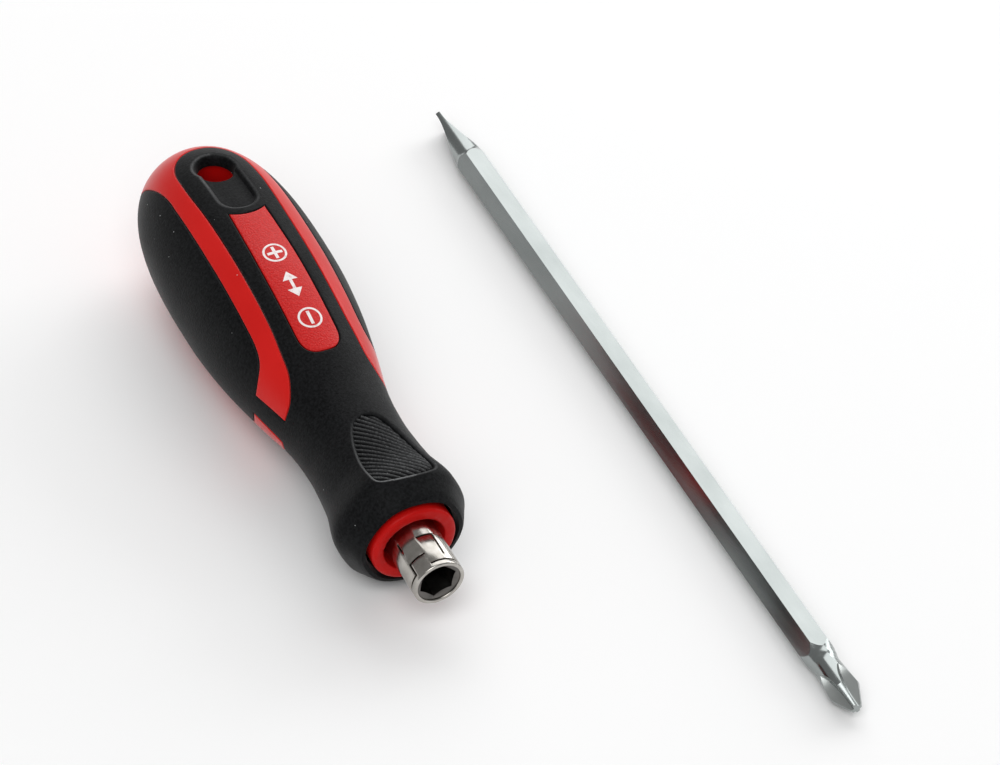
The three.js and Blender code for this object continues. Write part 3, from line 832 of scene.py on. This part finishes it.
def slotGrind(side):
    k = blade
    high, heel = k["half"], k["half"] - k["taper"]
    half, tip, beside = k["flats"] / 2, k["tipHalf"], 4 * k["wingRadius"]
    face = softLine([
        (tip, high),
        (mix(tip, half, 0.07), mix(high, heel, 0.23)),
        (mix(tip, half, 0.4), mix(high, heel, 0.58)),
        (mix(tip, half, 0.68), mix(high, heel, 0.78)),
        (mix(tip, half, 0.9), mix(high, heel, 0.93)),
        (half + k["spare"] / 2, heel),
    ], 6)
    profile = face + [(beside, heel), (beside, high + overrun), (tip, high + overrun)]
    bm = prism([(x, y, -beside) for x, y in profile], (0, 0, 2 * beside))
    turnAbout(bm, side + k["grindLean"] - 90, "Y")
    return bm


def fluteCutter(angle):
    k = blade
    root, neck, length, size = k["fluteRoot"], k["neckRadius"], k["fluteLength"], 2 * k["wingRadius"]
    roots = softLine([
        (-overrun, root),
        (0.3 * length, mix(root, neck, 0.03)),
        (0.55 * length, mix(root, neck, 0.2)),
        (0.8 * length, mix(root, neck, 0.58)),
        (length + overrun, neck + overrun),
    ], 6)
    right = [(0.14, 0.2), (0.3, 0.34), (size, size)]   # half of a vee with a rounded root
    vee = [(-x, z) for x, z in reversed(right)] + [(0, 0.15)] + right
    startY, startOut = roots[0]
    ways = [(0, nextY - y, nextOut - out) for (y, out), (nextY, nextOut) in zip(roots, roots[1:])]
    bm = prism([(x, startY - k["half"], startOut + z) for x, z in vee], *ways)
    turnAbout(bm, angle, "Y")
    return bm


def markFlutes(bm):                        # flutes look neither along the bar nor straight out from it
    ground = bm.faces.layers.float.new("ground")
    mostAlong, mostOut = 0.8, 0.86         # cosines
    bm.normal_update()
    for f in bm.faces:
        middle = f.calc_center_median()
        outwards = Vector((middle.x, 0, middle.z)).normalized()
        inReach = middle.y < blade["fluteLength"] - blade["half"]
        f[ground] = float(inReach and abs(f.normal.y) < mostAlong and f.normal.dot(outwards) < mostOut)


def hexBlade():
    k = blade
    bar = hexBar(k["flats"], 30, -k["half"] - overrun, k["half"] + overrun)
    bm = cutWith(bar, [bladeEnvelope()], "INTERSECT")
    flutes = [fluteCutter(k["grindLean"] + 45 + 90 * quarter) for quarter in range(4)]
    bm = cutWith(bm, [slotGrind(0), slotGrind(180)] + flutes)
    bmesh.ops.remove_doubles(bm, verts=bm.verts, dist=0.002)
    bm.normal_update()
    heel, end = k["half"] - k["taper"] + k["tipClear"], k["half"] - 0.01
    ground = [e for e in bm.edges if all(heel < v.co.y < end for v in e.verts)]
    ground = [e for e in ground if e.calc_face_angle(0) > math.radians(k["tipAngle"])]
    roundEdges(bm, ground, k["tipEdge"], 4)
    markFlutes(bm)
    return bm


# Materials: patterns on object coordinates, in metres
def startMaterial(name, **settings):
    material = bpy.data.materials.new(name)
    material.use_nodes = True
    tree = material.node_tree
    shader = tree.nodes["Principled BSDF"]
    for key, value in settings.items():
        shader.inputs[key.replace("_", " ")].default_value = value
    return material, tree, shader


def addNode(tree, kind, **settings):
    made = tree.nodes.new("ShaderNode" + kind)
    for key, value in settings.items():
        made.inputs[key.replace("_", " ")].default_value = value
    return made


def wire(tree, shader, **sources):         # sockets that drive the shader's own
    for key, source in sources.items():
        tree.links.new(source, shader.inputs[key.replace("_", " ")])


def pattern(tree, kind, stretch=(1, 1, 1), **settings):
    coords, place = addNode(tree, "TexCoord"), addNode(tree, "Mapping", Scale=stretch)
    texture = addNode(tree, kind, **settings)
    tree.links.new(coords.outputs["Object"], place.inputs["Vector"])
    tree.links.new(place.outputs["Vector"], texture.inputs["Vector"])
    return texture


def noiseOf(tree, scale, detail, stretch=(1, 1, 1)):
    return pattern(tree, "TexNoise", stretch, Scale=scale, Detail=detail).outputs["Fac"]


def ownLayer(tree, name):                  # a layer that the piece's mesh carries
    made = addNode(tree, "Attribute")
    made.attribute_name = name
    return made.outputs["Fac"]


def ramp(tree, source, stops):             # stops are (place, colour)
    band = addNode(tree, "ValToRGB")
    while len(band.color_ramp.elements) < len(stops):
        band.color_ramp.elements.new(0.5)
    for element, (place, colour) in zip(band.color_ramp.elements, stops):
        element.position = place
        element.color = (*colour, 1)
    tree.links.new(source, band.inputs["Fac"])
    return band.outputs["Color"]


def spread(tree, source, low, high):       # a noise's middle range, stretched from low to high
    band = addNode(tree, "MapRange", From_Min=0.3, From_Max=0.7, To_Min=low, To_Max=high)
    tree.links.new(source, band.inputs["Value"])
    return band.outputs["Result"]


def sums(tree, operation, source, other):  # a Math node on a socket and a socket or number
    made = addNode(tree, "Math")
    made.operation = operation
    tree.links.new(source, made.inputs[0])
    if isinstance(other, (int, float)):
        made.inputs[1].default_value = other
    else:
        tree.links.new(other, made.inputs[1])
    return made.outputs["Value"]


def blend(tree, share, base, colour):      # lays a colour over a colour socket
    made = addNode(tree, "Mix")
    made.data_type = "RGBA"
    made.inputs[7].default_value = (*colour, 1)
    tree.links.new(share, made.inputs[0])
    tree.links.new(base, made.inputs[6])
    return made.outputs[2]


def specks(tree, scale, size, share):      # scattered dust: 1 in a small dot in some of the cells
    cells = pattern(tree, "TexVoronoi", Scale=scale)
    parts = addNode(tree, "SeparateColor")
    tree.links.new(cells.outputs["Color"], parts.inputs["Color"])
    near = sums(tree, "LESS_THAN", cells.outputs["Distance"], size)
    return sums(tree, "MULTIPLY", near, sums(tree, "GREATER_THAN", parts.outputs["Red"], 1 - share))


def bump(tree, shader, source, strength, distance, under=None, invert=False):
    lift = addNode(tree, "Bump", Strength=strength, Distance=distance)
    lift.invert = invert
    tree.links.new(source, lift.inputs["Height"])
    if under:
        tree.links.new(under.outputs["Normal"], lift.inputs["Normal"])
    tree.links.new(lift.outputs["Normal"], shader.inputs["Normal"])
    return lift


redLook = {"deep": (0.58, 0.0075, 0.0055), "bright": (0.65, 0.010, 0.0075), "dust": (0.7, 0.45, 0.43),
           "roughness": (0.34, 0.43)}


def redPlastic():
    material, tree, shader = startMaterial("redPlastic", Specular_IOR_Level=0.2, Sheen_Weight=0.26,
                                           Sheen_Roughness=0.35)
    cloud, grain = noiseOf(tree, 60, 4), noiseOf(tree, 2600, 2)
    colour = ramp(tree, cloud, [(0.3, redLook["deep"]), (0.7, redLook["bright"])])
    colour = blend(tree, specks(tree, scale=420, size=0.045, share=0.2), colour, redLook["dust"])
    wire(tree, shader, Base_Color=colour, Roughness=spread(tree, cloud, *redLook["roughness"]))
    bump(tree, shader, grain, strength=0.3, distance=0.00006)
    return material


# the core's red plastic again, darker: painted shade on the ring, its recess and the red seen down the hang
# hole
shadedRingLook = {"deep": (0.44, 0.0045, 0.0035), "bright": (0.52, 0.006, 0.005), "roughness": (0.3, 0.4)}


def shadedRingPlastic():
    material, tree, shader = startMaterial("shadedRingPlastic", Specular_IOR_Level=0.1)
    cloud, grain = noiseOf(tree, 110, 4), noiseOf(tree, 1500, 3)
    colour = ramp(tree, cloud, [(0.3, shadedRingLook["deep"]), (0.7, shadedRingLook["bright"])])
    wire(tree, shader, Base_Color=colour, Roughness=spread(tree, cloud, *shadedRingLook["roughness"]))
    bump(tree, shader, grain, strength=0.4, distance=0.0001)
    return material


labelLook = {"bead": (0.64, 0.012, 0.010), "between": (0.52, 0.006, 0.005), "roughness": (0.36, 0.48)}


def labelPlastic():                        # beaded by the mould, with painted shade darkening the hollows between the beads
    material, tree, shader = startMaterial("labelPlastic", Specular_IOR_Level=0.26)
    cloud, grain = noiseOf(tree, 90, 4), noiseOf(tree, 3600, 3)
    cells = pattern(tree, "TexVoronoi", Scale=2500).outputs["Distance"]
    # lighter on the beads, darker between them: painted shade
    colour = ramp(tree, cells, [(0.05, labelLook["bead"]), (0.7, labelLook["between"])])
    wire(tree, shader, Base_Color=colour, Roughness=spread(tree, cloud, *labelLook["roughness"]))
    beads = bump(tree, shader, cells, strength=0.6, distance=0.0001, invert=True)
    bump(tree, shader, grain, strength=0.35, distance=0.00005, under=beads)
    return material


rubberLook = {"dark": (0.0018, 0.002, 0.0023), "light": (0.0085, 0.009, 0.0098), "paleWearAndHighlight": (0.29, 0.295, 0.3),
              "dust": (0.3, 0.31, 0.31), "roughness": (0.46, 0.6), "patches": (0.5, 1.3)}


def blackRubber():
    material, tree, shader = startMaterial("blackRubber", Specular_IOR_Level=0.08, Sheen_Weight=0.07,
                                           Sheen_Roughness=0.4)
    cloud, grain, mottle = noiseOf(tree, 70, 5), noiseOf(tree, 3000, 2), noiseOf(tree, 1900, 3)
    tint = ramp(tree, mottle, [(0.35, rubberLook["dark"]), (0.65, rubberLook["light"])])
    patchy = sums(tree, "MULTIPLY", grain, spread(tree, cloud, *rubberLook["patches"]))
    # pale rims and rib tops from the wear-and-highlight layer: partly wear, partly painted highlight
    wearAndHighlightShare = sums(tree, "MULTIPLY", ownLayer(tree, "wearAndHighlight"), patchy)
    tint = blend(tree, wearAndHighlightShare, tint, rubberLook["paleWearAndHighlight"])
    tint = blend(tree, specks(tree, scale=500, size=0.06, share=0.22), tint, rubberLook["dust"])
    wire(tree, shader, Base_Color=tint, Roughness=spread(tree, cloud, *rubberLook["roughness"]))
    bump(tree, shader, grain, strength=0.7, distance=0.00009)
    return material


steelLook = {"dark": (0.30, 0.325, 0.32), "light": (0.36, 0.385, 0.38), "ground": (0.46, 0.485, 0.475),
             "roughness": (0.17, 0.24), "groundDull": 0.14}


def satinSteel():                          # drawn along the bar, with duller ground flutes
    material, tree, shader = startMaterial("satinSteel", Metallic=1)
    streak, cloud = noiseOf(tree, 700, 1, (1, 0.03, 1)), noiseOf(tree, 160, 4, (1, 0.4, 1))
    ground = ownLayer(tree, "ground")
    colour = ramp(tree, cloud, [(0.3, steelLook["dark"]), (0.7, steelLook["light"])])
    colour = blend(tree, ground, colour, steelLook["ground"])
    amount = spread(tree, streak, *steelLook["roughness"])
    duller = sums(tree, "MULTIPLY", ground, steelLook["groundDull"])
    wire(tree, shader, Base_Color=colour, Roughness=sums(tree, "ADD", amount, duller))
    bump(tree, shader, streak, strength=0.06, distance=0.00003)
    return material


sheetLook = {"dark": (0.36, 0.34, 0.31), "light": (0.50, 0.48, 0.45), "roughness": (0.14, 0.26)}


def brightSheet():
    material, tree, shader = startMaterial("brightSheet", Metallic=1)
    cloud, fine = noiseOf(tree, 420, 5), noiseOf(tree, 1400, 3, (1, 0.15, 1))
    colour = ramp(tree, cloud, [(0.3, sheetLook["dark"]), (0.7, sheetLook["light"])])
    wire(tree, shader, Base_Color=colour, Roughness=spread(tree, fine, *sheetLook["roughness"]))
    bump(tree, shader, fine, strength=0.12, distance=0.00005)
    return material


darkShadedSteelLook = {"dark": (0.10, 0.095, 0.09), "light": (0.17, 0.16, 0.15), "roughness": (0.26, 0.4)}


# steel kept very dark: painted shade for the bush inside the sleeve, seen through its slits and mouth
def darkShadedSteel():
    material, tree, shader = startMaterial("darkShadedSteel", Metallic=1)
    cloud = noiseOf(tree, 500, 4)
    colour = ramp(tree, cloud, [(0.3, darkShadedSteelLook["dark"]), (0.7, darkShadedSteelLook["light"])])
    wire(tree, shader, Base_Color=colour, Roughness=spread(tree, cloud, *darkShadedSteelLook["roughness"]))
    return material


inkLook = {"thin": (0.70, 0.52, 0.52), "full": (0.86, 0.80, 0.79)}


def whiteInk():                            # pinkish where the print is thin
    material, tree, shader = startMaterial("whiteInk", Roughness=0.5)
    colour = ramp(tree, noiseOf(tree, 1400, 3), [(0.3, inkLook["thin"]), (0.5, inkLook["full"])])
    wire(tree, shader, Base_Color=colour)
    return material


# Pieces
rubber = blackRubber()
gripMesh = joined(gripShell(), bothFaces(channelFloor()), bothFaces(holeLining()))
makePiece(gripMesh, "rubber_grip", "handle", "grip_overmould", rubber)
makePiece(bothFaces(thumbPad()), "thumb_pads", "handle", "grip_overmould", rubber)
makePiece(redSkin(), "red_core", "handle", "handle_core", redPlastic())
makePiece(coreBody(), "ring_boss", "handle", "handle_core", shadedRingPlastic())
makePiece(bothFaces(labelPad()), "label_pads", "handle", "handle_core", labelPlastic())
makePiece(tipSymbols(), "tip_symbols", "handle", "handle_core", whiteInk())
makePiece(slitSleeve(), "slit_sleeve", "handle", "socket_sleeve", brightSheet())
makePiece(hexBush(), "hex_bush_bore", "handle", "hex_bush", darkShadedSteel())
bar = makePiece(hexBlade(), "hex_blade", "blade", "blade", satinSteel(), blade["edgeAngle"])
edges = bar.modifiers.new("edges", "BEVEL")
edges.width = blade["edge"] * mm
edges.segments = 2
edges.limit_method = "ANGLE"
edges.angle_limit = math.radians(blade["edgeAngle"])

# Camera, from the photograph's fitted view. The aim counts from under the ring's face
view = {"azimuth": -29.60, "elevation": 40.88, "roll": 5.33, "lens": 188.4, "distance": 0.9548,
        "right": 0.0162, "up": 0.03866}


def addCamera():
    az, el, roll = (math.radians(view[k]) for k in ("azimuth", "elevation", "roll"))
    back = Vector((math.sin(az) * math.cos(el), -math.cos(az) * math.cos(el), math.sin(el)))
    level = Vector((math.cos(az), math.sin(az), 0))
    upright = back.cross(level)
    right = level * math.cos(roll) + upright * math.sin(roll)
    up = upright * math.cos(roll) - level * math.sin(roll)
    camera = bpy.data.objects.new("camera", bpy.data.cameras.new("camera"))
    camera.data.lens = view["lens"]
    camera.data.sensor_width = 36
    camera.matrix_world = Matrix((right, up, back)).transposed().to_4x4()
    aim = Vector((ringFace.x, ringFace.y, 0))
    camera.location = aim + right * view["right"] + up * view["up"] + back * view["distance"]
    bpy.context.scene.collection.objects.link(camera)
    bpy.context.scene.camera = camera


# Floor and light, in metres and watts. The lamps look at the origin
studio = {"floorHalf": 3.0, "floorTint": (0.95, 0.95, 0.95, 1), "sky": 0.32}
lamps = {
    "backLamp": {"spot": (0.5, 0.88, 0.88), "size": 1.35, "power": 10.3},
    "frontLamp": {"spot": (-0.55, -0.7, 1.15), "size": 1.0, "power": 10.3},
    "rightLamp": {"spot": (1.15, 0.4, 0.5), "size": 0.7, "power": 4.6},
}


def addFloor():
    bm = bmesh.new()
    bmesh.ops.create_grid(bm, x_segments=1, y_segments=1, size=studio["floorHalf"])
    floor = looseObject(bm, "floor")
    matt = {"Roughness": 1, "Specular_IOR_Level": 0, "Base_Color": studio["floorTint"]}
    floor.data.materials.append(startMaterial("whiteFloor", **matt)[0])


def addWorld():
    world = bpy.data.worlds.new("studio")
    bpy.context.scene.world = world
    world.use_nodes = True
    sky = world.node_tree.nodes["Background"]
    sky.inputs["Color"].default_value = (1, 1, 1, 1)
    sky.inputs["Strength"].default_value = studio["sky"]


def addLamp(name, spot, size, power):
    lamp = bpy.data.objects.new(name, bpy.data.lights.new(name, "AREA"))
    lamp.data.size = size
    lamp.data.energy = power
    lamp.location = spot
    lamp.rotation_euler = (-Vector(spot)).to_track_quat("-Z", "Y").to_euler()
    bpy.context.scene.collection.objects.link(lamp)


addCamera()
addFloor()
addWorld()
for name, lamp in lamps.items():
    addLamp(name, **lamp)
print("camera, floor and", len(lamps), "lamps set")
bpy.context.scene.view_settings.view_transform = "Standard"
